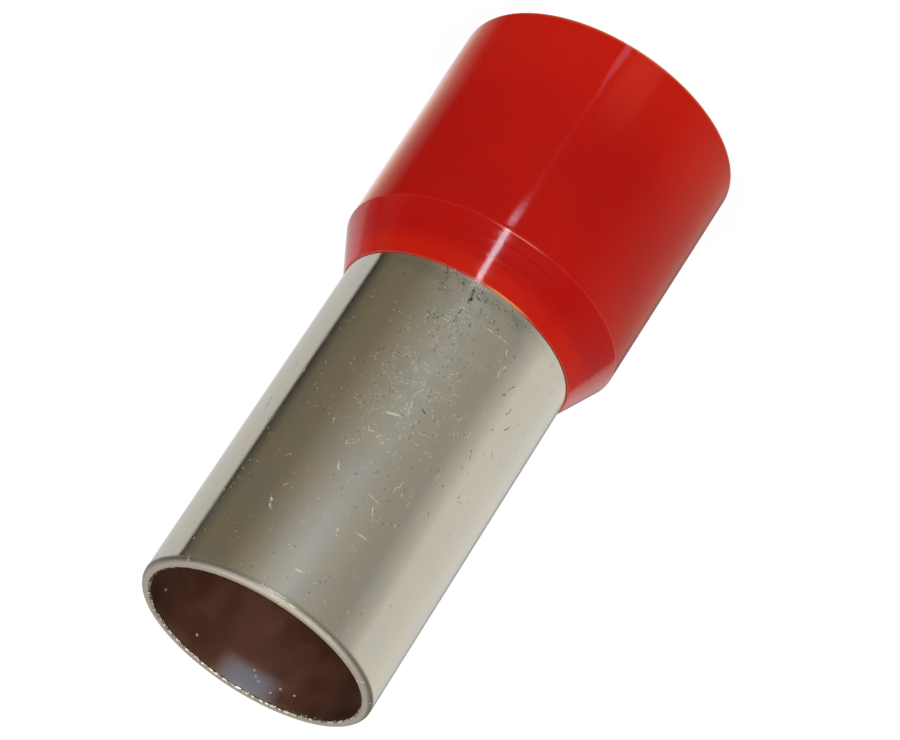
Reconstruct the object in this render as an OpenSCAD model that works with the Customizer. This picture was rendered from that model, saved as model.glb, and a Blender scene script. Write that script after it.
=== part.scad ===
// Insulated wire ferrule (cord end sleeve) for a 95 mm2 stranded conductor.
//
// Two pieces make it: a tinned copper tube, flared at its rear end, and a moulded
// plastic collar that grips the flare and funnels the stripped wire into the tube.
// It stands on the collar's mouth. Z is its axis, the collar's mouth is at Z = 0,
// and the tube's open end is at the top. Both pieces are turned from a section,
// drawn in the XY plane with X as the radius and Y as the height.

/* [Overall] */
// Length from the collar's mouth to the tube's open end
overall_len = 44; // [36:0.5:60]
// Length of bare tube that stands out of the collar
barrel_len = 24.8; // [12:0.1:32]

/* [Tube] */
// Bore of the tube, which takes the stripped strands
conductor_d = 14.7; // [8:0.1:24]
// Wall of the tube
tube_wall = 0.65; // [0.5:0.05:1.1]
// How far the flared rear end stands out from the tube, each side
flare_step = 0.85; // [0.4:0.05:1.2]
// Radius of the bend between the tube and its flare, on the outer side
bend_r = 2; // [0.5:0.1:3]
// How far the cut end is drawn in, each side
drawn_in = 0.2; // [0.1:0.02:0.34]
// Length over which the cut end is drawn in
drawn_in_len = 0.4; // [0.35:0.05:1.5]
// Radius on the inner edge of the cut end
cut_edge_r = 0.12; // [0.05:0.01:0.15]

/* [Collar] */
// Room in the collar for the wire's insulation, each side
insulation_room = 1.65; // [1.3:0.05:3]
// Wall of the collar at its mouth
collar_wall = 0.85; // [0.7:0.05:1.5]
// Angle of the nose and of the funnel inside it, to the axis
funnel_angle = 26; // [20:1:35]
// Wall left at the tip of the nose
nose_wall = 0.12; // [0.1:0.02:0.4]
// Mould draft on the outside of the collar, in degrees
draft_angle = 0.5; // [0:0.1:1]
// Radius round the outside of the mouth
mouth_r = 0.35; // [0.1:0.05:0.35]
// Bevel that leads the wire in, round the inside of the mouth
lead_in = 0.25; // [0.1:0.05:0.3]
// Radius between the collar's side and its nose
shoulder_r = 0.5; // [0.2:0.1:2]

/* [Hidden] */
$fn = 180;
past = 1; // how far a cut runs past what it cuts
crossing = 0.0002; // lets a round cross the two sides it joins, and not just graze them

// Tube
bore_r = conductor_d / 2;
tube_r = bore_r + tube_wall;
collar_len = overall_len - barrel_len;
// The tube starts to flare where it enters the collar, so the nose closes on the bend
bend_z = collar_len;
bend_centre = [tube_r + bend_r, bend_z];
// Straight part of the flare, beyond the bend
flare_leg = (flare_step - bend_r * (1 - cos(funnel_angle))) / sin(funnel_angle);

// Where a distance in from the bend's centre and a distance down the flare's leg lead
function flare_point(inward, down) = bend_centre
    + inward * [-cos(funnel_angle), -sin(funnel_angle)]
    + down * [sin(funnel_angle), -cos(funnel_angle)];
flare_outer_tip = flare_point(bend_r, flare_leg);
flare_inner_tip = flare_point(bend_r + tube_wall, flare_leg);
// The same lines carried past the flare's end, and its end face carried past both sides
flare_outer_past = flare_point(bend_r, flare_leg + past);
flare_inner_past = flare_point(bend_r + tube_wall, flare_leg + past);
flare_end_outside = flare_point(bend_r - past, flare_leg);
flare_end_inside = flare_point(bend_r + tube_wall + past, flare_leg);
// Where the lines of the tube and of the flare would meet, with no bend between them
bend_corner = [tube_r, bend_z - bend_r * tan(funnel_angle / 2)];
bore_corner = [bore_r, bend_z - (bend_r + tube_wall) * tan(funnel_angle / 2)];

// Radius of the arc that draws the cut end in
drawn_in_r = (drawn_in_len ^ 2 + drawn_in ^ 2) / (2 * drawn_in);

// Collar
entry_r = bore_r + insulation_room;
mouth_outer_r = entry_r + collar_wall;
nose_r = tube_r + nose_wall;
// The funnel carries on the flare's inner face until it reaches the entry's wall
funnel_foot = [entry_r, flare_inner_tip.y - (entry_r - flare_inner_tip.x) / tan(funnel_angle)];
// The drafted side and the nose meet at the shoulder
shoulder_z = (nose_r + collar_len * tan(funnel_angle) - mouth_outer_r)
    / (tan(funnel_angle) - tan(draft_angle));
shoulder = [mouth_outer_r - shoulder_z * tan(draft_angle), shoulder_z];

function unit(v) = v / norm(v);

// What a radius takes off an outward corner whose two sides lead to a and to b
module rounding(corner, a, b, r) {
    to_a = unit(a - corner);
    to_b = unit(b - corner);
    half = acos(to_a * to_b) / 2;
    centre = corner + unit(to_a + to_b) * r / sin(half);
    reach = r / tan(half);
    translate(centre) difference() {
        polygon((1 + past) * [
            [0, 0],
            corner + to_a * reach - centre,
            corner - centre,
            corner + to_b * reach - centre
        ]);
        circle(r = r + crossing);
    }
}

// The space inside the tube: the bore, and the funnel that the flare makes
module tube_inside() {
    polygon([
        [0, flare_inner_past.y],
        flare_inner_past,
        bore_corner,
        [bore_r, overall_len + past],
        [0, overall_len + past]
    ]);
    rounding(bore_corner, flare_inner_tip, [bore_r, overall_len], bend_r + tube_wall);
}

// The space round the tube, past the edge of its flare
module tube_outside() {
    difference() {
        polygon([
            flare_outer_past,
            bend_corner,
            [tube_r, overall_len + past],
            [flare_end_outside.x + past, overall_len + past],
            [flare_end_outside.x + past, flare_outer_past.y]
        ]);
        rounding(bend_corner, flare_outer_tip, [tube_r, overall_len], bend_r);
    }
}

module tube_section() {
    mouth_edge = [bore_r, overall_len];
    difference() {
        polygon([
            [0, flare_end_inside.y],
            flare_end_inside,
            flare_end_outside,
            [flare_end_outside.x, overall_len],
            [0, overall_len]
        ]);
        tube_inside();
        tube_outside();
        // Cutting off draws the end of the tube in a little
        translate([tube_r - drawn_in_r, overall_len - drawn_in_len]) difference() {
            square([drawn_in_r + past, drawn_in_len + past]);
            circle(r = drawn_in_r + crossing);
        }
        rounding(mouth_edge, mouth_edge - [0, 1], mouth_edge + [1, 0], cut_edge_r);
    }
}

// The collar's outline, solid to the axis
module collar_blank() {
    mouth = [mouth_outer_r, 0];
    nose = [nose_r, collar_len];
    difference() {
        polygon([[0, 0], mouth, shoulder, nose, [0, collar_len]]);
        rounding(mouth, [0, 0], shoulder, mouth_r);
        rounding(shoulder, mouth, nose, shoulder_r);
    }
}

// The space inside the collar: the entry, the funnel, and the seat of the flared tube.
// The collar is pressed on, so its seat has the tube's own outline, with no gap.
module collar_cavity() {
    polygon([
        [0, -past],
        [entry_r + lead_in + past, -past],
        [entry_r, lead_in],
        funnel_foot,
        flare_inner_tip,
        flare_outer_tip,
        bend_corner,
        [tube_r, collar_len + past],
        [0, collar_len + past]
    ]);
    rounding(bend_corner, flare_outer_tip, [tube_r, collar_len], bend_r);
}

module crimp_tube() {
    color("silver") rotate_extrude() tube_section();
}

module insulating_collar() {
    color("firebrick") rotate_extrude() difference() {
        collar_blank();
        collar_cavity();
    }
}

crimp_tube();
insulating_collar();
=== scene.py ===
# %% [markdown]
# # An insulated wire ferrule
#
# A ferrule is crimped on the end of a stranded wire, so that no strand splays out of a
# terminal. This one has two pieces: a tube of copper, plated with tin, and a collar of
# red polypropylene that grips the tube's flared rear end. It stands on the collar's
# mouth, with the tube's open end up.
#
# The lesson loads the construction model, turns both pieces again as smooth meshes,
# gives them their finishes, and sets up a small studio round them.

# %% Load the construction model
from math import acos, cos, degrees, hypot, pi, radians, sin, tan

import bpy
from mathutils import Matrix, Vector


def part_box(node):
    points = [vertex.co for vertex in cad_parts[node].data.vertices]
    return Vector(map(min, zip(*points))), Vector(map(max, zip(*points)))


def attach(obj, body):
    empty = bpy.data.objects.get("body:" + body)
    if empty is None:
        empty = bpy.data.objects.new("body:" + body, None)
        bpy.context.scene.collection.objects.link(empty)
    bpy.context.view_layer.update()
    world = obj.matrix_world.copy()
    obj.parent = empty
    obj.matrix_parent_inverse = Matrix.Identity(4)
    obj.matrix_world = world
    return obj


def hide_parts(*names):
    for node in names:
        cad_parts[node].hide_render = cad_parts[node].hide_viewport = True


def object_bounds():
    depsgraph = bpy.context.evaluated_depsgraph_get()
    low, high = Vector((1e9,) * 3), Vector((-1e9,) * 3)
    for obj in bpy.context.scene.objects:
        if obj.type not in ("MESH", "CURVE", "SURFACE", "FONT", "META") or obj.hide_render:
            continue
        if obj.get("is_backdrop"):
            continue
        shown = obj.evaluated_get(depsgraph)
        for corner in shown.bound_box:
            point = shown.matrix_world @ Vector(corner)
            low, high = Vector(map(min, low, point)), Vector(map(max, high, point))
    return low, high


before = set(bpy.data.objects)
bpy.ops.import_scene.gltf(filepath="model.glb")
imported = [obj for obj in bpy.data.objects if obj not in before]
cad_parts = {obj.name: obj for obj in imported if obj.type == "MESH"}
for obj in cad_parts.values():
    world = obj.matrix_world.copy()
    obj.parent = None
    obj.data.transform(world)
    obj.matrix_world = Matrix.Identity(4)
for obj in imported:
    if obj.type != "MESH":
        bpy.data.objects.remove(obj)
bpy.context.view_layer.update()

MM = 0.001
scene = bpy.context.scene
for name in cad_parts:
    low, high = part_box(name)
    print(name, "from", [round(v / MM, 2) for v in low], "to", [round(v / MM, 2) for v in high], "mm")

# %% [markdown]
# ## The camera
#
# A ferrule is often shown lying askew, with its open end towards the viewer. This one
# stands upright, so the camera does the leaning: it looks down a little, and rolls on
# its own axis until the ferrule's open end points to the lower left. A long lens from
# a quarter of a metre away keeps the two ends close to the same size.

# %% Camera
LOOK_DOWN = radians(26.95)
ROLL = radians(-147.06)
AIM = Vector((-0.85, 0, 21.27)) * MM
CAMERA_DISTANCE = 237.7 * MM
SENSOR_WIDTH, FOCAL_LENGTH = 36, 151.9

camera_data = bpy.data.cameras.new("camera")
camera_data.sensor_width = SENSOR_WIDTH
camera_data.lens = FOCAL_LENGTH
camera_data.clip_start = 10 * MM
camera = bpy.data.objects.new("camera", camera_data)
scene.collection.objects.link(camera)
scene.camera = camera

sight = Vector((0, cos(LOOK_DOWN), -sin(LOOK_DOWN)))
level_right = Vector((1, 0, 0))
level_up = level_right.cross(sight)
right = level_right * cos(ROLL) + level_up * sin(ROLL)
up = right.cross(sight)
turn = Matrix((right, up, -sight)).transposed()
camera.matrix_world = Matrix.Translation(AIM - sight * CAMERA_DISTANCE) @ turn.to_4x4()
scene.view_settings.view_transform = "Standard"
print("camera at", [round(v / MM, 1) for v in camera.matrix_world.translation], "mm")


# %% [markdown]
# ## Colours, nodes and materials
#
# Colours are written as sRGB hex, the way a swatch is labelled, and turned to the
# linear values that shaders work in. One function adds a node to any tree, with its
# settings, its values and its links, so that every tree below reads as a list.

# %% Helpers for colours, nodes and materials
def linear(swatch):
    """The linear values of an sRGB swatch."""
    channels = [int(swatch[i:i + 2], 16) / 255 for i in (1, 3, 5)]
    return [c / 12.92 if c <= 0.04045 else ((c + 0.055) / 1.055) ** 2.4 for c in channels] + [1]


def add(tree, kind, *values, stops=(), **settings):
    """Add a node. Its inputs are values in their order, or one dict that names some of them.

    A node or a socket among them is linked, and any other value is set. Stops are for a
    colour ramp, each with its position and its colour.
    """
    node = tree.nodes.new(kind)
    for key, value in settings.items():
        setattr(node, key, value)
    named = values and isinstance(values[0], dict)
    for key, value in values[0].items() if named else enumerate(values):
        if isinstance(value, bpy.types.Node):
            value = value.outputs[0]
        if isinstance(value, bpy.types.NodeSocket):
            tree.links.new(value, node.inputs[key])
        else:
            node.inputs[key].default_value = value
    if stops:
        elements = node.color_ramp.elements
        while len(elements) < len(stops):
            elements.new(1)
        for element, (position, colour) in zip(elements, stops):
            element.position = position
            element.color = colour
    return node


def new_material(name):
    """A material with nothing in it yet, and its tree."""
    material = bpy.data.materials.new(name)
    material.use_nodes = True
    material.node_tree.nodes.clear()
    return material, material.node_tree


MATH = "ShaderNodeMath"
VECTOR = "ShaderNodeVectorMath"
NOISE = "ShaderNodeTexNoise"
print("tin plate in linear values:", [round(v, 3) for v in linear("#cfc9ba")[:3]])

# %% [markdown]
# ## The sections
#
# Both pieces are turned shapes, so each is fully described by a section: the outline
# of its wall on one side of the axis. An outline is made of straight lines and arcs.
# The overall sizes are read from the construction model. The few that its boxes can't
# tell, such as the walls and the edge radii, are repeated here.

# %% Sizes of the sections
tube_low, tube_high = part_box("crimp_tube")
_, collar_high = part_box("insulating_collar")
TOP = tube_high[2]
COLLAR_LENGTH = collar_high[2]
BORE = 7.35 * MM
TUBE = 8.0 * MM
FLARE = tube_high[0]
BEND = 2.0 * MM
CONE = radians(26)
ENTRY = 9.0 * MM
NOSE = TUBE + 0.12 * MM
MOUTH = 9.85 * MM
DRAFT = radians(0.5)
FACET = 0.5 * MM
NO_LENGTH = 1e-8
print("tube", round((TOP - tube_low[2]) / MM, 2), "mm long, collar", round(COLLAR_LENGTH / MM, 2), "mm long")


# %% Lines and arcs of a section
def arc(centre, radius, start, end, step=radians(6)):
    """Points on an arc, from one angle to another, both in degrees."""
    start, end = radians(start), radians(end)
    count = max(2, round(abs(end - start) / step))
    angles = [start + (end - start) * i / count for i in range(count + 1)]
    return [(centre[0] + radius * cos(a), centre[1] + radius * sin(a)) for a in angles]


def fine(points, step):
    """The same closed outline, with its long lines cut into steps."""
    out = []
    for a, b in zip(points, points[1:] + points[:1]):
        across, along = b[0] - a[0], b[1] - a[1]
        length = hypot(across, along)
        count = max(1, round(length / step))
        if length > NO_LENGTH:
            out += [(a[0] + across * i / count, a[1] + along * i / count) for i in range(count)]
    return out


# %% Section of the tube
bend_centre = (TUBE + BEND, COLLAR_LENGTH)
bend_end = 180 + degrees(CONE)
wall = TUBE - BORE
flare_leg = (FLARE - TUBE - BEND * (1 - cos(CONE))) / sin(CONE)


def on_flare(inward):
    """The flare's end, at a distance inward from the bend's centre."""
    return (bend_centre[0] - inward * cos(CONE) + flare_leg * sin(CONE),
            bend_centre[1] - inward * sin(CONE) - flare_leg * cos(CONE))


DRAWN_IN = 0.2 * MM
DRAWN_IN_LENGTH = 0.4 * MM
CUT_EDGE = 0.12 * MM
rim_radius = (DRAWN_IN_LENGTH ** 2 + DRAWN_IN ** 2) / (2 * DRAWN_IN)
rim_end = degrees(acos(1 - DRAWN_IN / rim_radius))
tube_section = (
    arc((TUBE - rim_radius, TOP - DRAWN_IN_LENGTH), rim_radius, 0, rim_end)
    + arc((BORE + CUT_EDGE, TOP - CUT_EDGE), CUT_EDGE, 90, 180, radians(15))
    + arc(bend_centre, BEND + wall, 180, bend_end)
    + [on_flare(BEND + wall), on_flare(BEND)]
    + arc(bend_centre, BEND, bend_end, 180)
)
tube_section = fine(tube_section, FACET)
print("the tube's section has", len(tube_section), "points")

# %% Section of the collar
# The corner between the side and the nose is crisper than the construction model's. That
# moves the surface by less than a hundredth of a millimetre.
shoulder_z = ((NOSE + COLLAR_LENGTH * tan(CONE) - MOUTH) / (tan(CONE) - tan(DRAFT)))
shoulder = (MOUTH - shoulder_z * tan(DRAFT), shoulder_z)
funnel_top = on_flare(BEND + wall)
funnel_foot = (ENTRY, funnel_top[1] - (ENTRY - funnel_top[0]) / tan(CONE))
MOUTH_ROUND = 0.35 * MM
LEAD_IN = 0.25 * MM
SHOULDER_ROUND = 0.15 * MM
half = (CONE - DRAFT) / 2
shoulder_centre = (shoulder[0] - SHOULDER_ROUND * cos(half + DRAFT) / cos(half),
                   shoulder[1] - SHOULDER_ROUND * sin(half + DRAFT) / cos(half))
collar_section = (
    arc((MOUTH - MOUTH_ROUND, MOUTH_ROUND), MOUTH_ROUND, -90, degrees(DRAFT), radians(8))
    + arc(shoulder_centre, SHOULDER_ROUND, degrees(DRAFT), degrees(CONE), radians(4))
    + [(NOSE, COLLAR_LENGTH), (TUBE, COLLAR_LENGTH)]
    + arc(bend_centre, BEND, 180, bend_end)
    + [on_flare(BEND), funnel_top, funnel_foot, (ENTRY, LEAD_IN), (ENTRY + LEAD_IN, 0)]
)
collar_section = fine(collar_section, FACET)
print("the collar's section has", len(collar_section), "points; its shoulder is at",
      [round(v / MM, 2) for v in shoulder], "mm")


# %% [markdown]
# ## A lathe
#
# Spin, a Screw modifier or a curve swept round a circle could all turn a section. A
# Geometry Nodes lathe is chosen here, because it keeps the section's points exact,
# has its sizes as named inputs, and can also add what real turned and moulded walls
# have: a very faint waviness, which makes their reflections waver.
#
# The tree lays a flat grid, with one column for each point of the section and one row
# for each step round the axis, and then moves each grid point to its place.

# %% The two ends of a Geometry Nodes tree
def new_group(name, sizes):
    """A tree that takes and gives geometry, with its named inputs, and the sockets that it is given."""
    group = bpy.data.node_groups.new(name, "GeometryNodeTree")
    for way in ("INPUT", "OUTPUT"):
        group.interface.new_socket("Geometry", in_out=way, socket_type="NodeSocketGeometry")
    for label, kind in sizes.items():
        group.interface.new_socket(label, in_out="INPUT", socket_type="NodeSocket" + kind)
    return group, add(group, "NodeGroupInput").outputs


def end_group(group, geometry, material):
    """End a tree as plain geometry of this material."""
    real = add(group, "GeometryNodeRealizeInstances", geometry)
    add(group, "NodeGroupOutput", add(group, "GeometryNodeSetMaterial", {0: real, "Material": material}))
    print(group.name, "has", len(group.nodes), "nodes")


# %% Lathe: a grid, and each grid point's place in the section and in the turn
lathe, given = new_group("lathe", {"Steps": "Int", "Wave height": "Float", "Wave scale": "Float",
                                   "Seed": "Float", "Material": "Material"})
steps = given["Steps"]
count = add(lathe, "GeometryNodeAttributeDomainSize", given["Geometry"]).outputs["Point Count"]
grid = add(lathe, "GeometryNodeMeshGrid", {
    "Size X": count, "Size Y": steps,
    "Vertices X": add(lathe, MATH, count, 1, operation="ADD"),
    "Vertices Y": add(lathe, MATH, steps, 1, operation="ADD")})
position = add(lathe, "GeometryNodeInputPosition")
flat_x, flat_y, _ = add(lathe, "ShaderNodeSeparateXYZ", position).outputs
column = add(lathe, MATH, add(lathe, MATH, count, 0.5, flat_x, operation="MULTIPLY_ADD"), operation="ROUND")
row = add(lathe, MATH, steps, 0.5, flat_y, operation="MULTIPLY_ADD")
angle = add(lathe, MATH, add(lathe, MATH, row, steps, operation="DIVIDE"), 2 * pi, operation="MULTIPLY")
point = add(lathe, "GeometryNodeSampleIndex", {
    "Geometry": given["Geometry"], "Value": position,
    "Index": add(lathe, MATH, column, count, operation="FLOORED_MODULO")}, data_type="FLOAT_VECTOR")
radius, _, height = add(lathe, "ShaderNodeSeparateXYZ", point).outputs
print("the lathe reads its section with", len(lathe.nodes), "nodes")

# %% Lathe: turn each point to its place, with a faint wave towards the axis
around = add(lathe, "ShaderNodeCombineXYZ", add(lathe, MATH, angle, operation="COSINE"),
             add(lathe, MATH, angle, operation="SINE"))
turned = add(lathe, VECTOR, {0: around, "Scale": radius}, operation="SCALE")
place = add(lathe, VECTOR, turned, add(lathe, "ShaderNodeCombineXYZ", {2: height}), operation="ADD")
noise = add(lathe, NOISE, {"Vector": place, "W": given["Seed"], "Scale": given["Wave scale"], "Detail": 1},
            noise_dimensions="4D")
below = add(lathe, MATH, noise, 1, operation="SUBTRACT")
wave = add(lathe, MATH, below, given["Wave height"], operation="MULTIPLY")
shift = add(lathe, VECTOR, {0: around, "Scale": wave}, operation="SCALE")
moved = add(lathe, "GeometryNodeSetPosition", {"Geometry": grid, "Position": place, "Offset": shift})
closed = add(lathe, "GeometryNodeMergeByDistance", {0: moved, "Distance": 0.001 * MM})
end_group(lathe, closed, given["Material"])


# %% Run a tree, and turn a section
def run_tree(name, group, base, values):
    """A plain mesh piece from a Geometry Nodes tree, with its inputs set by identifier."""
    blank = bpy.data.objects.new(name + "_blank", base)
    scene.collection.objects.link(blank)
    modifier = blank.modifiers.new(group.name, "NODES")
    modifier.node_group = group
    sockets = {s.name: s.identifier for s in group.interface.items_tree if s.in_out == "INPUT"}
    for label, value in values.items():
        modifier[sockets[label]] = value
    depsgraph = bpy.context.evaluated_depsgraph_get()
    mesh = bpy.data.meshes.new_from_object(blank.evaluated_get(depsgraph))
    mesh.name = name
    bpy.data.objects.remove(blank)
    piece = bpy.data.objects.new(name, mesh)
    scene.collection.objects.link(piece)
    # The lathe winds its faces inwards, so the volume of a turned piece prints below zero.
    mesh.calc_loop_triangles()
    corners = [[mesh.vertices[i].co for i in triangle.vertices] for triangle in mesh.loop_triangles]
    volume = sum(a.dot(b.cross(c)) for a, b, c in corners) / 6
    print(name, "has", len(corners), "triangles and holds", round(volume / MM ** 3, 1), "mm3")
    return piece


STEPS_ROUND = 256
SHARP = radians(30)


def turn_piece(name, section, material, wave_height, wave_scale, seed):
    """A piece turned from a section, with its sharp corners kept sharp."""
    outline = bpy.data.meshes.new(name + "_section")
    outline.from_pydata([(x, 0, z) for x, z in section], [], [])
    piece = run_tree(name, lathe, outline, {
        "Steps": STEPS_ROUND, "Wave height": wave_height, "Wave scale": wave_scale, "Seed": seed,
        "Material": material})
    piece.data.shade_smooth()
    piece.data.set_sharp_from_angle(angle=SHARP)
    return piece


# %% [markdown]
# ## Where a mark lies on a turned wall
#
# The marks of wear are laid out on the wall as if it were unrolled flat. Across is the
# way round the wall, and up is the height, both in millimetres. The bearing is zero at
# the side that faces the camera, and grows towards -X. Noise needs no such layout: it
# fills space, so it meets itself at the back without a seam.
#
# Wear and tints could be painted by hand or drawn by a formula. Formulas are chosen,
# because they stay sharp at any size: each makes a mask, from none to full, masks are
# joined, and coats of colour are laid over one another where their masks say.

# %% Bearings, masks and coats of colour
def bearing_of(tree, x, y):
    """The bearing of a place, in radians."""
    return add(tree, MATH, add(tree, MATH, x, -1, operation="MULTIPLY"),
               add(tree, MATH, y, -1, operation="MULTIPLY"), operation="ARCTAN2")


def unrolled(tree):
    """Sockets for the way round the tube, the height, and the place, all in millimetres."""
    place = add(tree, "ShaderNodeTexCoord").outputs["Object"]
    in_mm = add(tree, "ShaderNodeMapping", {"Vector": place, "Scale": (1 / MM, 1 / MM, 1 / MM)})
    x, y, z = add(tree, "ShaderNodeSeparateXYZ", in_mm).outputs
    return add(tree, MATH, bearing_of(tree, x, y), TUBE / MM, operation="MULTIPLY"), z, in_mm


def soft(tree, value, low, high, about=None, to=(0, 1)):
    """A smooth change, from the first of to where the value is low, to the second where it is high.

    With about, it goes by how far the value is from there.
    """
    if about:
        value = add(tree, MATH, value, about, operation="SUBTRACT")
    if about is not None:
        value = add(tree, MATH, value, operation="ABSOLUTE")
    return add(tree, "ShaderNodeMapRange", value, low, high, *to, interpolation_type="SMOOTHSTEP")


def all_of(tree, mask, *others):
    """Where all of these masks are: their product."""
    for other in others:
        mask = add(tree, MATH, mask, other, operation="MULTIPLY")
    return mask


def any_of(tree, mask, *others):
    """Where any of these masks is: the fullest of them."""
    for other in others:
        mask = add(tree, MATH, mask, other, operation="MAXIMUM")
    return mask


def painted(tree, base, *coats):
    """Coats laid over a base colour, each with its mask. A colour may be a swatch."""
    for mask, coat in coats:
        under, over = [linear(c) if isinstance(c, str) else c for c in (base, coat)]
        base = add(tree, "ShaderNodeMix", {0: mask, 6: under, 7: over}, data_type="RGBA").outputs[2]
    return base


# %% Single scratches and fields of short ones
DARK_SHARE = 0.2


def mark(tree, along, aside, length, width):
    """A mask for a straight mark, from the distances along it and aside of it."""
    return all_of(tree, soft(tree, along, length / 2, length / 4, about=0),
                  soft(tree, aside, width, 0, about=0))


def scratches(tree, across, up, marks):
    """One mask for a list of scratches, each with its bearing, height, length, tilt and width.

    A renderer has room for only so many values at a time, and draws a material that needs
    more in black. So this uses single numbers, not vectors, and joins each scratch at once.
    """
    mask = 0.0
    for bearing, height, length, tilt, width in marks:
        c, s = cos(radians(tilt)), sin(radians(tilt))
        from_u = add(tree, MATH, across, radians(bearing) * TUBE / MM, operation="SUBTRACT")
        from_v = add(tree, MATH, up, height, operation="SUBTRACT")
        along = add(tree, MATH, from_u, c, add(tree, MATH, from_v, s, operation="MULTIPLY"),
                    operation="MULTIPLY_ADD")
        aside = add(tree, MATH, from_v, c, add(tree, MATH, from_u, -s, operation="MULTIPLY"),
                    operation="MULTIPLY_ADD")
        mask = any_of(tree, mask, mark(tree, along, aside, length, width))
    return mask


def nicks(tree, flat, per_mm, length, width, density):
    """Masks for many short scratches, pale ones and dark ones, each turned its own way."""
    cells = add(tree, "ShaderNodeTexVoronoi", {"Vector": flat, "Scale": per_mm},
                voronoi_dimensions="2D").outputs
    chance, turn, tone = add(tree, "ShaderNodeSeparateXYZ", cells["Color"]).outputs
    angle = add(tree, MATH, turn, 2 * pi, operation="MULTIPLY")
    from_centre = add(tree, VECTOR, flat, cells["Position"], operation="SUBTRACT")
    level = add(tree, "ShaderNodeVectorRotate", {"Vector": from_centre, "Angle": angle},
                rotation_type="Z_AXIS")
    along, aside, _ = add(tree, "ShaderNodeSeparateXYZ", level).outputs
    here = all_of(tree, mark(tree, along, aside, length, width),
                  add(tree, MATH, chance, density, operation="LESS_THAN"))
    pale = soft(tree, tone, DARK_SHARE, 1, to=(0, 0.6))
    dark = add(tree, MATH, tone, DARK_SHARE, operation="LESS_THAN")
    return all_of(tree, here, pale), all_of(tree, here, dark)


# %% [markdown]
# ## Finish of the tube: tin plate on copper
#
# Tin plate is a soft, bright metal with a faint warm tone. It is smooth enough to
# mirror the studio, but it scratches and smears in a parts bin. A metallic shader
# with low roughness gives the mirror, and a very shallow bump frays its reflections.
# Nicks and scratches are rough metal, which scatters light, so they show pale where
# the mirror is dark. The cut end and the bore are duller than the drawn outside, and
# in the bore the copper shows through; its red-brown is partly a painted reflection of
# the red collar below. Light from the mouth is painted on the bore's far side as a pale
# patch, and pale specks are painted there as glints.

# %% Tin plate: its parts, and where the wear is
bore, top = BORE / MM, TOP / MM
tin, tree = new_material("tin_plate_on_copper")
across, up, in_mm = unrolled(tree)
x, y, _ = add(tree, "ShaderNodeSeparateXYZ", in_mm).outputs
from_axis = add(tree, VECTOR, add(tree, "ShaderNodeCombineXYZ", x, y), operation="LENGTH").outputs["Value"]
inside = all_of(tree, soft(tree, from_axis, bore + 0.05, bore + 0.02), soft(tree, up, top - 0.08, top - 0.14))
outside = add(tree, MATH, 1, inside, operation="SUBTRACT")
cut_end = all_of(tree, soft(tree, from_axis, bore + 0.05, bore + CUT_EDGE / MM),
                 soft(tree, up, top - 0.55, top - 0.25))
clumps = add(tree, NOISE, {"Vector": in_mm, "Scale": 0.9, "Detail": 3})
near_collar = soft(tree, up, 37, 27)
middle = soft(tree, across, 4.6, 0.8, about=-0.4)
rubbed = all_of(tree, near_collar, middle, outside)
haze = all_of(tree, rubbed, soft(tree, clumps, 0.36, 0.62))
density = add(tree, MATH, haze, 0.7, soft(tree, clumps, 0.47, 0.75, to=(0, 0.35)), operation="MULTIPLY_ADD")
print("the wear is laid out with", len(tree.nodes), "nodes")

# %% Tin plate: nicks, about 0.1 to 0.4 mm long, and larger faint smudges
flat = add(tree, "ShaderNodeCombineXYZ", across, up)
warp = add(tree, NOISE, {"Vector": in_mm, "Scale": 3, "Detail": 1}).outputs["Color"]
bent = add(tree, VECTOR, warp, (0.15, 0.15, 0), flat, operation="MULTIPLY_ADD")
small_pale, small_dark = nicks(tree, bent, 4.6, 0.22, 0.065, density)
long_pale, long_dark = nicks(tree, bent, 1.9, 0.5, 0.06, all_of(tree, density, 0.45))
smudges, _ = nicks(tree, bent, 0.7, 0.9, 0.2, 0.25)
print("nicks and smudges bring it to", len(tree.nodes), "nodes")

# %% Tin plate: scratches, and glints painted as pale specks
# A scratch has its bearing in degrees, its height and length, its tilt in degrees from the
# way round, and its width to one side. A painted glint, a pale speck in the bore, has its
# bearing and height.
PALE = [
    (-4.5, 29.9, 0.8, -12, 0.11), (0, 28.6, 1.9, 75, 0.07), (9, 35.2, 1.2, 10, 0.08),
    (12, 36.1, 1.3, 60, 0.06), (13, 37.6, 1.1, -5, 0.09), (-28, 38.6, 1.1, 60, 0.08),
    (-25, 32.0, 0.5, 70, 0.08), (-1, 41.7, 0.6, -10, 0.12), (3, 38.3, 0.7, 60, 0.09),
    (10, 21.5, 1.2, -3, 0.08), (18, 21.4, 1.2, 0, 0.08), (24, 22.0, 0.8, 60, 0.08),
    (26, 23.1, 1.3, 95, 0.07), (15, 33.6, 1.2, 100, 0.05), (-12, 34.6, 0.9, 70, 0.05),
    (-7, 43.74, 1.0, -4, 0.05), (-3, 43.86, 1.1, -6, 0.05), (-1, 43.64, 0.7, -5, 0.05)]
DARK = [
    (-3.3, 20.3, 1.5, 80, 0.16), (-4.1, 22.0, 1.6, 95, 0.07), (3, 22.0, 0.4, 100, 0.1),
    (6, 28.6, 0.5, 30, 0.08), (36, 28.6, 0.9, 60, 0.05), (43, 31.0, 0.7, 100, 0.05),
    (34.5, 23.6, 1.5, -70, 0.06), (45, 25.4, 0.9, -60, 0.06), (50, 24.6, 0.9, -80, 0.05),
    (47, 27.4, 0.7, 20, 0.08), (41, 24.6, 0.9, 100, 0.06), (38, 26.4, 0.6, 130, 0.07),
    (-66, 31.4, 1.2, 80, 0.08), (-64, 28.6, 0.9, 85, 0.07)]
BRASSY = [(-3.2, 29.8, 0.8, -12, 0.1), (4.5, 43.8, 0.5, 0, 0.06)]
GLINTS = [(173.8, 42.4), (171.7, 42.7), (169.2, 42.9), (161.1, 43.2),
        (157.9, 42.7), (149.7, 42.75), (-152.8, 42.8), (-119.4, 42.6)]
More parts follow.
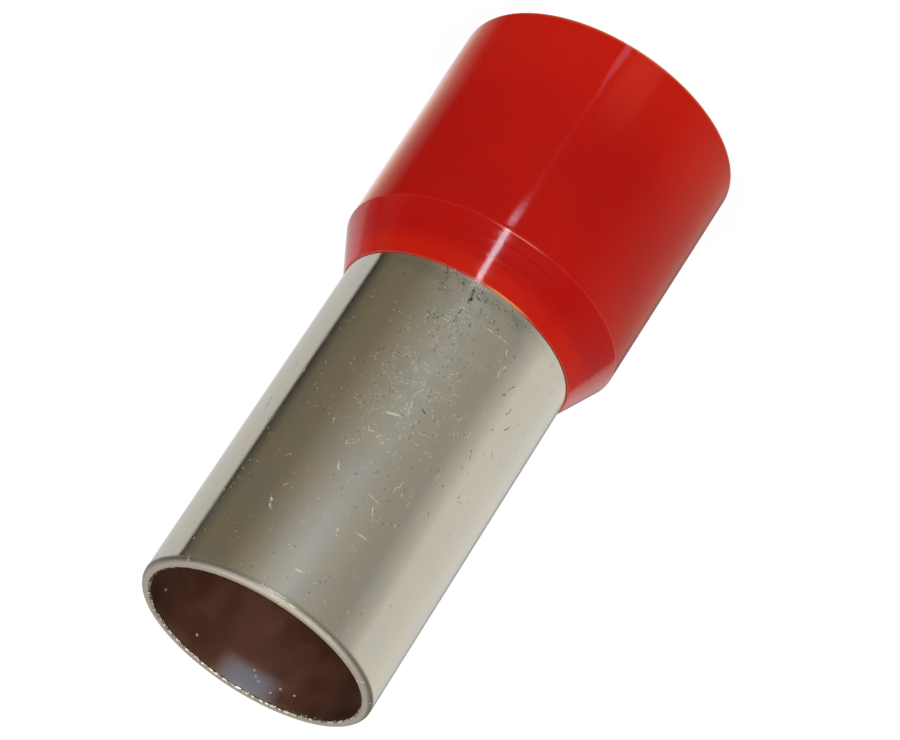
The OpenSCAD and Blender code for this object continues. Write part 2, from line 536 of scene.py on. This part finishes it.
GLINT_LENGTH, GLINT_WIDTH = 0.24, 0.12
jitter = add(tree, NOISE, {"Vector": in_mm, "Scale": 2.2, "Detail": 3})
shaky = add(tree, MATH, jitter, 0.5, add(tree, MATH, across, 0.25, operation="SUBTRACT"),
            operation="MULTIPLY_ADD")
broken = soft(tree, add(tree, NOISE, {"Vector": in_mm, "Scale": 4, "Detail": 2}), 0.36, 0.56, to=(0.1, 1))
pale = all_of(tree, scratches(tree, shaky, up, PALE), broken)
dark = all_of(tree, scratches(tree, shaky, up, DARK), broken)
brassy = scratches(tree, across, up, BRASSY)
# painted glints: pale specks on the bore's far side
specks = [(*place, GLINT_LENGTH, 0, GLINT_WIDTH) for place in GLINTS]
glints = all_of(tree, scratches(tree, across, up, specks), inside)
print(len(PALE) + len(BRASSY), "pale scratches,", len(DARK), "dark ones and", len(GLINTS), "grains of grit")

# %% Tin plate: what is pale and what is dim
bright = all_of(tree, any_of(tree, pale, small_pale, long_pale, all_of(tree, smudges, 0.15)), outside)
dim = all_of(tree, any_of(tree, dark, all_of(tree, any_of(tree, small_dark, long_dark), 0.5)), outside)
# painted light: a pale patch on the bore's far side, where light from the mouth falls
PATCH_SIDE = (-0.105, 0.995, 0)
towards_patch = add(tree, VECTOR, in_mm, PATCH_SIDE, operation="DOT_PRODUCT").outputs["Value"]
far_patch = all_of(tree, soft(tree, up, 41.8, 42.85), soft(tree, towards_patch, 6.92, 7.36), inside)
sides = all_of(tree, inside, soft(tree, x, 4.2, 7.2, about=0))
near_mouth = soft(tree, up, top - 1.7, top - 0.4)
# painted shade: dark spots along the inner cut edge, where noise says, break its bright line into dashes
edge = all_of(tree, soft(tree, from_axis, bore + 0.15, bore + 0.09), soft(tree, up, top - 0.2, top - 0.12))
grain = add(tree, NOISE, {"Vector": in_mm, "Scale": 4, "Detail": 3})
ragged_edge_shade = all_of(tree, edge, soft(tree, grain, 0.4, 0.54, to=(0, 0.85)))
smear = add(tree, NOISE, {"Vector": in_mm, "Scale": 0.5, "Detail": 4})
print("pale and dim places bring it to", len(tree.nodes), "nodes")

# %% Tin plate: colour
plate = painted(
    tree, "#d1cab9",
    (soft(tree, smear, 0.35, 0.65), "#ccc9bd"),  # the plating's tone drifts a little
    # the bore's red-brown: copper that shows through, and partly a painted reflection of the red collar
    (inside, "#d4a68e"),  # copper in the bore
    (sides, painted(tree, "#a08a80", (near_mouth, "#7c6a60"))),  # the bore's sides, in shadow
    (far_patch, "#b6bac8"),  # light from the mouth
    (cut_end, "#a69d8e"),  # sawn metal
    (all_of(tree, haze, 0.7), "#d3d2c1"),  # a field of marks too small to see
    # pale wear, and the painted glints in the bore
    (any_of(tree, bright, glints), "#e0dccd"),
    (brassy, "#ead99a"),
    # dark scratches, and the painted shade along the inner edge
    (any_of(tree, dim, ragged_edge_shade), "#57513f"))
scattering = any_of(tree, all_of(tree, far_patch, 0.95), bright, brassy)
not_metal = any_of(tree, all_of(tree, scattering, 0.5), glints)
metal = add(tree, MATH, 1, not_metal, operation="SUBTRACT")
print("its colour brings it to", len(tree.nodes), "nodes")

# %% Tin plate: gloss, relief and the shader
ROUGHER = [(haze, 0.12), (bright, 0.4), (cut_end, 0.42), (inside, 0.3)]
rough = soft(tree, smear, 0.35, 0.7, to=(0.05, 0.12))
for mask, more in ROUGHER:
    rough = add(tree, MATH, mask, more, rough, operation="MULTIPLY_ADD")
frayed = add(tree, "ShaderNodeBump", {"Height": grain, "Strength": 1, "Distance": 0.0016 * MM})
relief = add(tree, MATH, bright, dim, operation="SUBTRACT")
dents = add(tree, "ShaderNodeBump", {"Height": relief, "Strength": 0.4, "Distance": 0.01 * MM,
                                     "Normal": frayed})
add(tree, "ShaderNodeOutputMaterial", add(tree, "ShaderNodeBsdfPrincipled", {
    "Base Color": plate, "Metallic": metal, "Roughness": rough, "Normal": dents}))
print("tin plate has", len(tree.nodes), "nodes")

# %% [markdown]
# ## Finish of the collar: polypropylene
#
# The collar is injection moulded in a polished mould, so it is glossy, and the plastic
# lets a little light in. Subsurface scattering gives that depth, and lets some light
# through the wall, which with the colour painted in the bore tints the inside of the
# tube. The mould was turned on a lathe, which leaves very fine rings. A glow is painted
# on its thin nose, on the pale lip where it ends against the tube, and at the mouth,
# and painted highlights run along the mouth's edge and, near the front, the shoulder's
# edge.

# %% Polypropylene: colour
SHOULDER_EDGE_HEIGHT = 15.98
lip = COLLAR_LENGTH / MM
red, tree = new_material("moulded_red_polypropylene")
across, up, in_mm = unrolled(tree)
bearing = add(tree, MATH, across, radians(1) * TUBE / MM, operation="DIVIDE")
cloud = add(tree, NOISE, {"Vector": in_mm, "Scale": 0.12, "Detail": 2})
patchy = add(tree, NOISE, {"Vector": in_mm, "Scale": 0.4, "Detail": 3})
# painted light: brighter towards the top of the nose and towards the mouth, as if lit through the thin
# plastic
painted_glow = any_of(tree, soft(tree, up, 17.4, 19, to=(0, 0.8)), soft(tree, up, 8, 0.5, to=(0, 0.7)))
# painted glow on the thin lip against the tube, in front and at the sides
lip_glow = any_of(tree, soft(tree, bearing, 16, 4, about=10),
                all_of(tree, soft(tree, patchy, 0.5, 0.66, to=(0, 0.6)),
                       soft(tree, bearing, 75, 95, about=0)))
# a painted highlight along the shoulder's edge, near the front only
shoulder_highlight = all_of(tree, soft(tree, up, 0.06, 0.02, about=SHOULDER_EDGE_HEIGHT),
                 soft(tree, bearing, 14, 3, about=0, to=(0, 0.45)))
colour = painted(
    tree, "#b2140c",
    (soft(tree, cloud, 0.35, 0.65), "#b9160d"),
    # painted shade: the sloping nose a shade darker, against the light it catches facing up
    (soft(tree, up, 15.9, 16.1), "#b3120a"),  # the sloping nose
    # painted light at the thin nose and near the mouth
    (painted_glow, "#cd200c"),  # light comes through the thin nose and the mouth
    # painted glow on the pale lip against the tube
    (all_of(tree, soft(tree, up, lip - 0.12, lip - 0.02), lip_glow), "#f58a52"),
    # painted glow at the mouth, and a painted highlight on its rounded edge
    (soft(tree, up, 0.4, 0.1), "#dd6a40"),
    (soft(tree, up, 0.17, 0.1), "#f2d2ae"),  # the mouth's edge
    # the painted highlight on the shoulder's edge
    (shoulder_highlight, "#f0a088"))
print("polypropylene's colour takes", len(tree.nodes), "nodes")

# %% Polypropylene: relief and the shader
rings = add(tree, NOISE, {"Vector": add(tree, "ShaderNodeCombineXYZ", {2: up}), "Scale": 5, "Detail": 2})
swell = add(tree, NOISE, {"Vector": in_mm, "Scale": 0.3, "Detail": 1})
pits = all_of(tree, add(tree, NOISE, {"Vector": in_mm, "Scale": 9, "Detail": 1}), soft(tree, up, 13, 15))
fine_rings = add(tree, "ShaderNodeBump", {"Height": rings, "Strength": 1, "Distance": 0.003 * MM})
moulded = add(tree, "ShaderNodeBump", {"Height": swell, "Strength": 1, "Distance": 0.01 * MM,
                                       "Normal": fine_rings})
pitted = add(tree, "ShaderNodeBump", {"Height": pits, "Strength": 1, "Distance": 0.0012 * MM,
                                      "Normal": moulded})
add(tree, "ShaderNodeOutputMaterial", add(tree, "ShaderNodeBsdfPrincipled", {
    "Base Color": colour, "Roughness": soft(tree, rings, 0.4, 0.6, to=(0.05, 0.14)), "IOR": 1.49,
    "Normal": pitted, "Subsurface Weight": 0.6, "Subsurface Radius": (1, 0.1, 0.05),
    "Subsurface Scale": 1.2 * MM}))
print("polypropylene has", len(tree.nodes), "nodes")

# %% [markdown]
# ## The two pieces
#
# Each piece is turned from its section and takes its node's place in the construction
# model. Both belong to the one body, because nothing in a ferrule moves.

# %% Turn both pieces
tube = turn_piece("tube", tube_section, tin, 0.01 * MM, 150.0, 1.0)
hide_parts("crimp_tube")
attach(tube, "root")
collar = turn_piece("collar", collar_section, red, 0.02 * MM, 100.0, 2.0)
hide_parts("insulating_collar")
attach(collar, "root")

# %% [markdown]
# ## Burrs
#
# The saw that cuts the tube leaves tiny burrs on the inner edge of its end, and they
# glitter. They could be part of the bump, but then they would not break the edge's
# outline, so they are real: pebbles of metal, set along a circle by Geometry Nodes.

# %% Burrs: a ring of places, each a little astray
STRAY = (0.05 * MM, 0.05 * MM, 0.12 * MM)
burr_tree, given = new_group("burrs", {"Radius": "Float", "Height": "Float", "Count": "Int", "Size": "Float",
                                       "Seed": "Int", "Material": "Material"})


def drawn(low, high):
    """Three numbers for each burr, drawn at random between these."""
    return add(burr_tree, "FunctionNodeRandomValue", {0: low, 1: high, "Seed": given["Seed"]},
               data_type="FLOAT_VECTOR")


ring = add(burr_tree, "GeometryNodeCurvePrimitiveCircle",
           {"Resolution": given["Count"], "Radius": given["Radius"]})
dots = add(burr_tree, "GeometryNodeCurveToPoints", {"Curve": ring, "Count": given["Count"]}, mode="COUNT")
lift = add(burr_tree, "ShaderNodeCombineXYZ", {2: given["Height"]})
offset = add(burr_tree, VECTOR, drawn((-0.5, -0.5, -1.0), (0.5, 0.5, 0.0)), STRAY, lift,
             operation="MULTIPLY_ADD")
spread = add(burr_tree, "GeometryNodeSetPosition", {"Geometry": dots, "Offset": offset})
print("places of the burrs take", len(burr_tree.nodes), "nodes")

# %% Burrs: a pebble at each place
NEARLY_A_TURN = 6.28
pebble = add(burr_tree, "GeometryNodeMeshIcoSphere", {"Radius": given["Size"], "Subdivisions": 1})
set_out = add(burr_tree, "GeometryNodeInstanceOnPoints", {
    "Points": spread, "Instance": pebble,
    "Rotation": drawn((0.0, 0.0, 0.0), (NEARLY_A_TURN, NEARLY_A_TURN, NEARLY_A_TURN)),
    "Scale": drawn((0.2, 0.2, 0.1), (1.0, 1.0, 0.7))})
end_group(burr_tree, set_out, given["Material"])

# %% Burr metal and the piece
# The saw smears tin over bare copper, so the burrs are bright and of two tones.
burr_metal, tree = new_material("sawn_tin_and_copper")
place = add(tree, "ShaderNodeTexCoord").outputs["Object"]
patch = add(tree, NOISE, {"Vector": place, "Scale": 400, "Detail": 1})
add(tree, "ShaderNodeOutputMaterial", add(tree, "ShaderNodeBsdfPrincipled", {
    "Base Color": painted(tree, "#efe6d2", (soft(tree, patch, 0.4, 0.6), "#dcc9a4")),
    "Metallic": 1, "Roughness": 0.15}))
burrs = run_tree("burrs", burr_tree, bpy.data.meshes.new("nothing"), {
    "Radius": BORE, "Height": TOP - 0.07 * MM, "Count": 260, "Size": 0.055 * MM, "Seed": 4,
    "Material": burr_metal})
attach(burrs, "root")

# %% [markdown]
# ## The studio
#
# A mirror-like tube shows the room more than itself. Seen from above, its upright
# wall mirrors what lies on the table around it, so graded cards are laid there, as in
# a product studio. They are white at the back and the sides and dark in front, which
# draws the long soft gradient down the tube. A curtain stands further out, pale at its
# foot. The sloping nose of the collar mirrors it, and one narrow lamp in front of it
# draws the bright streak. The light itself comes from a big, dim softbox and the world.

# %% Floor
FLOOR = 2.0
floor_mesh = bpy.data.meshes.new("floor")
floor_mesh.from_pydata([(-FLOOR, -FLOOR, 0), (FLOOR, -FLOOR, 0), (FLOOR, FLOOR, 0), (-FLOOR, FLOOR, 0)],
                       [], [(0, 1, 2, 3)])
floor = bpy.data.objects.new("floor", floor_mesh)
scene.collection.objects.link(floor)
floor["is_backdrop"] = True


def looked_at(tree, mirroring=1.0):
    """One for rays that come straight from the camera, or by way of metal, gloss or glass."""
    path = add(tree, "ShaderNodeLightPath").outputs
    mirrored = all_of(tree, any_of(tree, path["Is Glossy Ray"], path["Is Transmission Ray"]), mirroring)
    return any_of(tree, path["Is Camera Ray"], mirrored)


# Under the ferrule the floor is in its shade, so mirrors don't see it white there.
paper, tree = new_material("white_paper")
place = add(tree, "ShaderNodeTexCoord").outputs["Object"]
out = add(tree, VECTOR, place, operation="LENGTH").outputs["Value"]
uncovered = soft(tree, out, ENTRY, MOUTH)
diffuse = add(tree, "ShaderNodeBsdfDiffuse", {"Color": linear("#f4f4f4")})
glow = add(tree, "ShaderNodeEmission", {"Color": (1, 1, 1, 1), "Strength": 1.06})
white = add(tree, "ShaderNodeMixShader", 0.85, diffuse, glow)
add(tree, "ShaderNodeOutputMaterial",
    add(tree, "ShaderNodeMixShader", looked_at(tree, uncovered), diffuse, white))
floor_mesh.materials.append(paper)
print("the floor is", 2 * FLOOR, "m across")

# %% World and softbox
AMBIENT = 0.62
world = bpy.data.worlds.new("studio")
scene.world = world
world.use_nodes = True
tree = world.node_tree
tree.nodes.clear()
strength = add(tree, "ShaderNodeMapRange", {"Value": looked_at(tree), "To Min": AMBIENT, "To Max": 1.0})
add(tree, "ShaderNodeOutputWorld", add(tree, "ShaderNodeBackground", (1, 1, 1, 1), strength))

lamp_data = bpy.data.lights.new("softbox", "AREA")
lamp_data.shape = "SQUARE"
lamp_data.size = 1.6
lamp_data.energy = 6.3
softbox = bpy.data.objects.new("softbox", lamp_data)
scene.collection.objects.link(softbox)
softbox.location = (-0.02, -0.41, 0.7)
softbox.rotation_euler = (AIM - softbox.location).to_track_quat("-Z", "Y").to_euler()
print("the softbox hangs", round((softbox.location - AIM).length, 2), "m away")


# %% [markdown]
# ## Cards
#
# Each card is seen only in reflections, so it neither lights the ferrule nor shows
# behind it. It is laid out in the way that a mirror-cylinder drawing is: for each
# bearing and height on the wall, the camera's sight line is mirrored in the wall and
# followed down to the table, and the card's point lies there. So every point of the
# card knows where the wall will show it, and its greys go by those places.

# %% Pieces of the studio that only reflections show
def grey(value, warmth=0.0):
    """A grey of this linear brightness. Warmth takes blue away."""
    return (value, value * (1 - warmth * 0.35), value * (1 - warmth), 1)


def by_bearing(shades):
    """Stops of a ramp, from shades by bearing, from -180 to 180 degrees."""
    return [(0.5 + bearing / 360, colour) for bearing, colour in shades]


def stage_piece(name, points, faces):
    """A piece of the studio. Returns its tree and its mesh."""
    mesh = bpy.data.meshes.new(name)
    mesh.from_pydata(points, [], faces)
    piece = bpy.data.objects.new(name, mesh)
    scene.collection.objects.link(piece)
    material, tree = new_material(name)
    mesh.materials.append(material)
    piece.visible_camera = piece.visible_diffuse = piece.visible_shadow = False
    piece.visible_transmission = piece.visible_volume_scatter = False
    piece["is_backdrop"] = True
    return tree, mesh


def light_up(tree, colour, strength=1):
    """Make a piece of the studio shine in this colour."""
    add(tree, "ShaderNodeOutputMaterial", add(tree, "ShaderNodeEmission", colour, strength))


# %% Mirror card
FIRST_BEARING = -87.5
COLUMNS, ROWS = 176, 16
MAP_HEIGHT = 50


def mirror_card(name, radius, low, high, level):
    """A card at this level, for what a wall of this radius shows from low to high.

    Returns its tree, the bearing as a ramp's position, and the height in millimetres.
    """
    eye = camera.matrix_world.translation
    points, spots = [], []
    for j in range(ROWS + 1):
        height = low + (high - low) * j / ROWS
        for i in range(COLUMNS):
            bearing = FIRST_BEARING + i
            outward = Vector((-sin(radians(bearing)), -cos(radians(bearing)), 0))
            spot = outward * radius + Vector((0, 0, height))
            ray = (spot - eye).reflect(outward)
            points.append(spot + ray * (level - height) / ray.z)
            spots.append((0.5 + bearing / 360, height / (MAP_HEIGHT * MM)))
    faces = [(j * COLUMNS + i, j * COLUMNS + i + 1, (j + 1) * COLUMNS + i + 1, (j + 1) * COLUMNS + i)
             for j in range(ROWS) for i in range(COLUMNS - 1)]
    tree, mesh = stage_piece(name, points, faces)
    layer = mesh.uv_layers.new(name="spot")
    for loop in mesh.loops:
        layer.data[loop.index].uv = spots[loop.vertex_index]
    spot = add(tree, "ShaderNodeUVMap", uv_map="spot")
    place, height, _ = add(tree, "ShaderNodeSeparateXYZ", spot).outputs
    print(name, "reaches", round(max(p.length for p in points), 2), "m out")
    return tree, place, add(tree, MATH, height, MAP_HEIGHT, operation="MULTIPLY")


# %% The card that the tube mirrors
RAMP = "ShaderNodeValToRGB"
tree, place, height = mirror_card("card_for_tube", TUBE, 17 * MM, 55 * MM, 0.1 * MM)
left = [(-90, grey(0.95)), (-85, grey(0.78)), (-79, grey(0.68)), (-72, grey(0.70)), (-56.8, grey(0.70))]
by_collar = add(tree, RAMP, place, stops=by_bearing(left + [
    (-55.2, grey(0.05, 0.2)), (-53, grey(0.09, 0.2)), (-48, grey(0.19, 0.3)), (-40, grey(0.235, 0.35)),
    (-30, grey(0.25, 0.33)), (-20, grey(0.35, 0.25)), (-8, grey(0.45, 0.10)), (0, grey(0.49, 0.0)),
    (8, grey(0.46, 0.12)), (18, grey(0.42, 0.13)), (25, grey(0.43, 0.1)), (34, grey(0.64, 0.08)),
    (40, grey(0.84, 0.06)), (70, grey(0.87, 0.02)), (76, grey(0.76, 0.02)), (81, grey(0.46, 0.02)),
    (87, grey(0.15))]))
by_rim = add(tree, RAMP, place, stops=by_bearing(left + [
    (-55.2, grey(0.06, 0.2)), (-52.8, grey(0.15, 0.25)), (-46, grey(0.225, 0.35)), (-37, grey(0.215, 0.3)),
    (-30, grey(0.25, 0.33)), (-20, grey(0.37, 0.22)), (-11, grey(0.52, 0.0)), (-3, grey(0.60, -0.1)),
    (6, grey(0.51, 0.05)), (18, grey(0.42, 0.13)), (26, grey(0.40, 0.1)), (36, grey(0.60, 0.08)),
    (41, grey(0.80, 0.06)), (66, grey(0.86, 0.02)), (76, grey(0.74, 0.02)), (81, grey(0.50, 0.02)),
    (87, grey(0.22))]))
beyond = add(tree, RAMP, place, stops=by_bearing([
    (-90, grey(1.0)), (-71, grey(0.7)), (-62, grey(0.5)), (-55, grey(0.35)),
    (30, grey(0.38)), (45, grey(0.5)), (63, grey(0.6)), (88, grey(0.6))]))
light_up(tree, painted(tree, by_collar, (soft(tree, height, 30, 42), by_rim),
                       (soft(tree, height, 45.5, 53), beyond)))

# %% The card that the collar mirrors: its greys
tree, place, height = mirror_card("card_for_collar", MOUTH - 0.07 * MM, 0, 18.4 * MM, 0.14 * MM)
right = [(25, grey(0.04)), (35, grey(0.15, 0.2)), (45, grey(0.28, 0.3)), (60, grey(0.38, 0.3)),
         (74, grey(0.42, 0.25)), (81, grey(0.2, 0.1)), (88, grey(0.05))]
by_mouth = add(tree, RAMP, place, stops=by_bearing([
    (-90, grey(0.6)), (-82, grey(0.8)), (-76, grey(0.9, 0.2)), (-70, grey(0.58, 0.3)),
    (-65, grey(0.37, 0.3)), (-60, grey(0.12, 0.2)), (-56, grey(0.03))] + right))
by_nose = add(tree, RAMP, place, stops=by_bearing([
    (-90, grey(1.1)), (-82, grey(1.25)), (-75, grey(1.25, 0.2)), (-70, grey(0.9, 0.3)),
    (-65, grey(0.55, 0.3)), (-60, grey(0.26, 0.2)), (-55.5, grey(0.02))] + right))

# %% The card that the collar mirrors: a streak that wanders, and a warm glow at the mouth
STREAK_COLOUR = (7.0, 6.4, 8.0, 1)
GLOW_COLOUR = (0.8, 0.3, 0.2, 1)
bearing = add(tree, MATH, place, 360, -180, operation="MULTIPLY_ADD")
wander = add(tree, NOISE, {"W": height, "Scale": 0.35, "Detail": 2}, noise_dimensions="1D")
off_line = add(tree, MATH, wander, -3.5, 6.5, operation="MULTIPLY_ADD")
from_streak = add(tree, MATH, add(tree, MATH, bearing, off_line, operation="ADD"), operation="ABSOLUTE")
width = any_of(tree, soft(tree, height, 4, 1, to=(0.9, 2)), soft(tree, height, 12, 15.5, to=(0.9, 1.9)))
streak = soft(tree, add(tree, MATH, from_streak, width, operation="DIVIDE"), 1, 0.3)
glint = any_of(tree, soft(tree, height, 7, 1, to=(0, 0.16)), soft(tree, height, 13.8, 16, to=(0.02, 0.9)))
glint = all_of(tree, glint, soft(tree, height, 16.8, 16.1))
band = all_of(tree, soft(tree, bearing, 9, 4, about=5), soft(tree, height, 8, 1.5))
light_up(tree, painted(tree, by_mouth, (soft(tree, height, 3, 7), by_nose),
                       (all_of(tree, streak, glint), STREAK_COLOUR), (band, GLOW_COLOUR)))
print("its material has", len(tree.nodes), "nodes")

# %% The curtain that the nose and the cut end mirror
CURTAIN = 160 * MM
CURTAIN_TOP = 100 * MM
SIDES = 120
tree, _ = stage_piece(
    "curtain", [(CURTAIN * sin(2 * pi * i / SIDES), CURTAIN * cos(2 * pi * i / SIDES), z)
                for z in (0, CURTAIN_TOP) for i in range(SIDES)],
    [(i, (i + 1) % SIDES, SIDES + (i + 1) % SIDES, SIDES + i) for i in range(SIDES)])
x, y, z = add(tree, "ShaderNodeSeparateXYZ", add(tree, "ShaderNodeTexCoord").outputs["Object"]).outputs
place = add(tree, MATH, bearing_of(tree, x, y), 0.5 / pi, 0.5, operation="MULTIPLY_ADD")
back_right = [(110, grey(0.2)), (145, grey(0.2)), (165, grey(0.1)), (180, grey(0.5))]
back_left = [(-180, grey(0.5)), (-150, grey(0.65)), (-135, grey(0.38)), (-120, grey(0.18)),
             (-112, grey(0.07))]
foot = add(tree, RAMP, place, stops=by_bearing(
    back_left + [(-95, grey(0.3)), (55, grey(0.35)), (75, grey(0.2))] + back_right))
cloth = add(tree, RAMP, place, stops=by_bearing(
    back_left + [(-100, grey(0.03)), (60, grey(0.04)), (75, grey(0.12))] + back_right))
light_up(tree, painted(tree, foot, (soft(tree, z, 15 * MM, 45 * MM), cloth)))
print("the curtain stands", round(CURTAIN / MM), "mm out and", round(CURTAIN_TOP / MM), "mm high")

# %% The narrow lamp
LAMP_BEARING = radians(10)
side = Vector((cos(LAMP_BEARING), sin(LAMP_BEARING), 0)) * 5.5 * MM
front = Vector((sin(LAMP_BEARING), -cos(LAMP_BEARING), 0)) * 150 * MM
low, high = Vector((0, 0, 12 * MM)), Vector((0, 0, 100 * MM))
tree, _ = stage_piece("narrow_lamp", [front - side + low, front + side + low, front + side + high,
                                      front - side + high], [(0, 1, 2, 3)])
light_up(tree, (0.75, 0.9, 1.0, 1), 15)
print("the narrow lamp is", round(2 * side.length / MM), "mm wide")

# %% [markdown]
# ## The size, and the end
#
# The construction model's boxes are printed at the start, and here the box of the
# turned pieces and the burrs is worked out. The turned pieces must stay inside
# the construction model's box.

# %% Finish
low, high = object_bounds()
